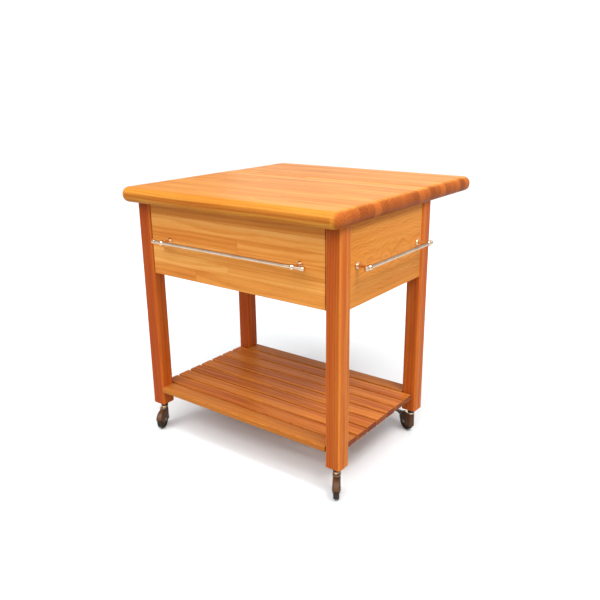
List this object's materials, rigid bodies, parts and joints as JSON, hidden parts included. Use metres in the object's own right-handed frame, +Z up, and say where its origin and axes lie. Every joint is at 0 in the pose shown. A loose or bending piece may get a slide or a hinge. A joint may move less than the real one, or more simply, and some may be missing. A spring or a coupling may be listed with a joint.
{
  "type": "kitchen island",
  "caption": "Wheeled hardwood kitchen island with a butcher block top, raised drop leaf, deep drawer with a bar pull, side towel bar and slatted shelf.",
  "frame": {"origin": "floor, below the middle of the whole island with its leaf raised", "axes": "+Z up, the drawer faces -Y, the towel bar is on the +X side"},
  "size_m": [0.8946, 0.8716, 0.894],
  "materials": {
    "top_wood": "oiled edge-glued hardwood",
    "leg_wood": "reddish satin hardwood",
    "panel_wood": "honey satin hardwood",
    "shelf_wood": "honey satin hardwood",
    "frame_wood": "satin hardwood",
    "drawer_wood": "clear lacquer",
    "slide_steel": "zinc plated",
    "bright_nickel": "polished nickel plate",
    "hinge_steel": "satin nickel plate",
    "socket_steel": "dark bronze",
    "caster_fork": "dark bronze enamel",
    "caster_tread": "dark moulded tread",
    "axle_steel": "zinc plated",
    "pedal_plastic": "moulded"
  },
  "bodies": {
    "case": {"main_top": "top_wood", "leg_front_left": "leg_wood", "leg_front_right": "leg_wood", "leg_rear_left": "leg_wood", "leg_rear_right": "leg_wood", "side_panel_left": "panel_wood", "side_panel_right": "panel_wood", "back_panel": "panel_wood", "shelf_stretcher_front": "shelf_wood", "shelf_stretcher_rear": "shelf_wood", "shelf_slat_1": "shelf_wood", "shelf_slat_2": "shelf_wood", "shelf_slat_3": "shelf_wood", "shelf_slat_4": "shelf_wood", "shelf_slat_5": "shelf_wood", "shelf_slat_6": "shelf_wood", "shelf_slat_7": "shelf_wood", "front_rail_upper": "frame_wood", "front_rail_lower": "frame_wood", "top_cleats": "frame_wood", "shelf_end_rail_left": "frame_wood", "shelf_end_rail_right": "frame_wood", "drawer_runner_left": "frame_wood", "drawer_runner_right": "frame_wood", "slide_outer_left": "slide_steel", "slide_outer_right": "slide_steel", "towel_bar": "bright_nickel", "towel_bar_posts": "bright_nickel", "hinge_plates_case": "hinge_steel", "hinge_pins": "hinge_steel", "caster_sockets": "socket_steel"},
    "drawer": {"drawer_front": "panel_wood", "drawer_side_left": "drawer_wood", "drawer_side_right": "drawer_wood", "drawer_back": "drawer_wood", "drawer_bottom": "drawer_wood", "slide_inner_left": "slide_steel", "slide_inner_right": "slide_steel", "drawer_pull_bar": "bright_nickel", "drawer_pull_posts": "bright_nickel"},
    "leaf": {"drop_leaf": "top_wood", "hinge_plates_leaf": "hinge_steel"},
    "slide_middle_left": {"slide_middle_left": "slide_steel"},
    "slide_middle_right": {"slide_middle_right": "slide_steel"},
    "fork_front_left": {"caster_fork_front_left": "caster_fork", "caster_axle_front_left": "axle_steel"},
    "fork_front_right": {"caster_fork_front_right": "caster_fork", "caster_axle_front_right": "axle_steel"},
    "fork_rear_left": {"caster_fork_rear_left": "caster_fork", "caster_axle_rear_left": "axle_steel"},
    "fork_rear_right": {"caster_fork_rear_right": "caster_fork", "caster_axle_rear_right": "axle_steel"},
    "wheel_front_left": {"caster_wheel_front_left": "caster_tread"},
    "wheel_front_right": {"caster_wheel_front_right": "caster_tread"},
    "wheel_rear_left": {"caster_wheel_rear_left": "caster_tread"},
    "wheel_rear_right": {"caster_wheel_rear_right": "caster_tread"},
    "pedal_rear_left": {"brake_pedal_rear_left": "pedal_plastic"},
    "pedal_rear_right": {"brake_pedal_rear_right": "pedal_plastic"}
  },
  "joints": [
    {"name": "drawer_slide", "type": "slide", "parent": "case", "child": "drawer", "axis": [0, -1, 0], "range_m": [0, 0.36]},
    {"name": "leaf_hinge", "type": "hinge", "parent": "case", "child": "leaf", "pos_m": [-0.01325, 0.15665, 0.8396], "axis": [-1, 0, 0], "range_deg": [0, 90]},
    {"name": "slide_middle_left_travel", "type": "slide", "parent": "case", "child": "slide_middle_left", "axis": [0, -1, 0], "range_m": [0, 0.18]},
    {"name": "slide_middle_right_travel", "type": "slide", "parent": "case", "child": "slide_middle_right", "axis": [0, -1, 0], "range_m": [0, 0.18]},
    {"name": "swivel_front_left", "type": "hinge", "parent": "case", "child": "fork_front_left", "pos_m": [-0.39825, -0.35375, 0.097], "axis": [0, 0, 1], "continuous": true},
    {"name": "wheel_front_left_spin", "type": "hinge", "parent": "fork_front_left", "child": "wheel_front_left", "pos_m": [-0.38767, -0.3775, 0.033], "axis": [0.9135, 0.4067, 0], "continuous": true},
    {"name": "swivel_front_right", "type": "hinge", "parent": "case", "child": "fork_front_right", "pos_m": [0.37175, -0.35375, 0.097], "axis": [0, 0, 1], "continuous": true},
    {"name": "wheel_front_right_spin", "type": "hinge", "parent": "fork_front_right", "child": "wheel_front_right", "pos_m": [0.38553, -0.3758, 0.033], "axis": [0.848, 0.5299, 0], "continuous": true},
    {"name": "swivel_rear_left", "type": "hinge", "parent": "case", "child": "fork_rear_left", "pos_m": [-0.39825, 0.12825, 0.097], "axis": [0, 0, 1], "continuous": true},
    {"name": "wheel_rear_left_spin", "type": "hinge", "parent": "fork_rear_left", "child": "wheel_rear_left", "pos_m": [-0.40924, 0.15181, 0.033], "axis": [-0.9063, -0.4226, 0], "continuous": true},
    {"name": "brake_pedal_left", "type": "hinge", "parent": "fork_rear_left", "child": "pedal_rear_left", "pos_m": [-0.42478, 0.18515, 0.05017], "axis": [-0.9063, -0.4226, 0], "range_deg": [0, 18]},
    {"name": "swivel_rear_right", "type": "hinge", "parent": "case", "child": "fork_rear_right", "pos_m": [0.37175, 0.12825, 0.097], "axis": [0, 0, 1], "continuous": true},
    {"name": "wheel_rear_right_spin", "type": "hinge", "parent": "fork_rear_right", "child": "wheel_rear_right", "pos_m": [0.34879, 0.14046, 0.033], "axis": [-0.4695, -0.8829, 0], "continuous": true},
    {"name": "brake_pedal_right", "type": "hinge", "parent": "fork_rear_right", "child": "pedal_rear_right", "pos_m": [0.31632, 0.15773, 0.05017], "axis": [-0.4695, -0.8829, 0], "range_deg": [0, 18]}
  ],
  "couplings": [
    {"joint": "slide_middle_left_travel", "follows": "drawer_slide", "ratio": 0.5},
    {"joint": "slide_middle_right_travel", "follows": "drawer_slide", "ratio": 0.5}
  ]
}
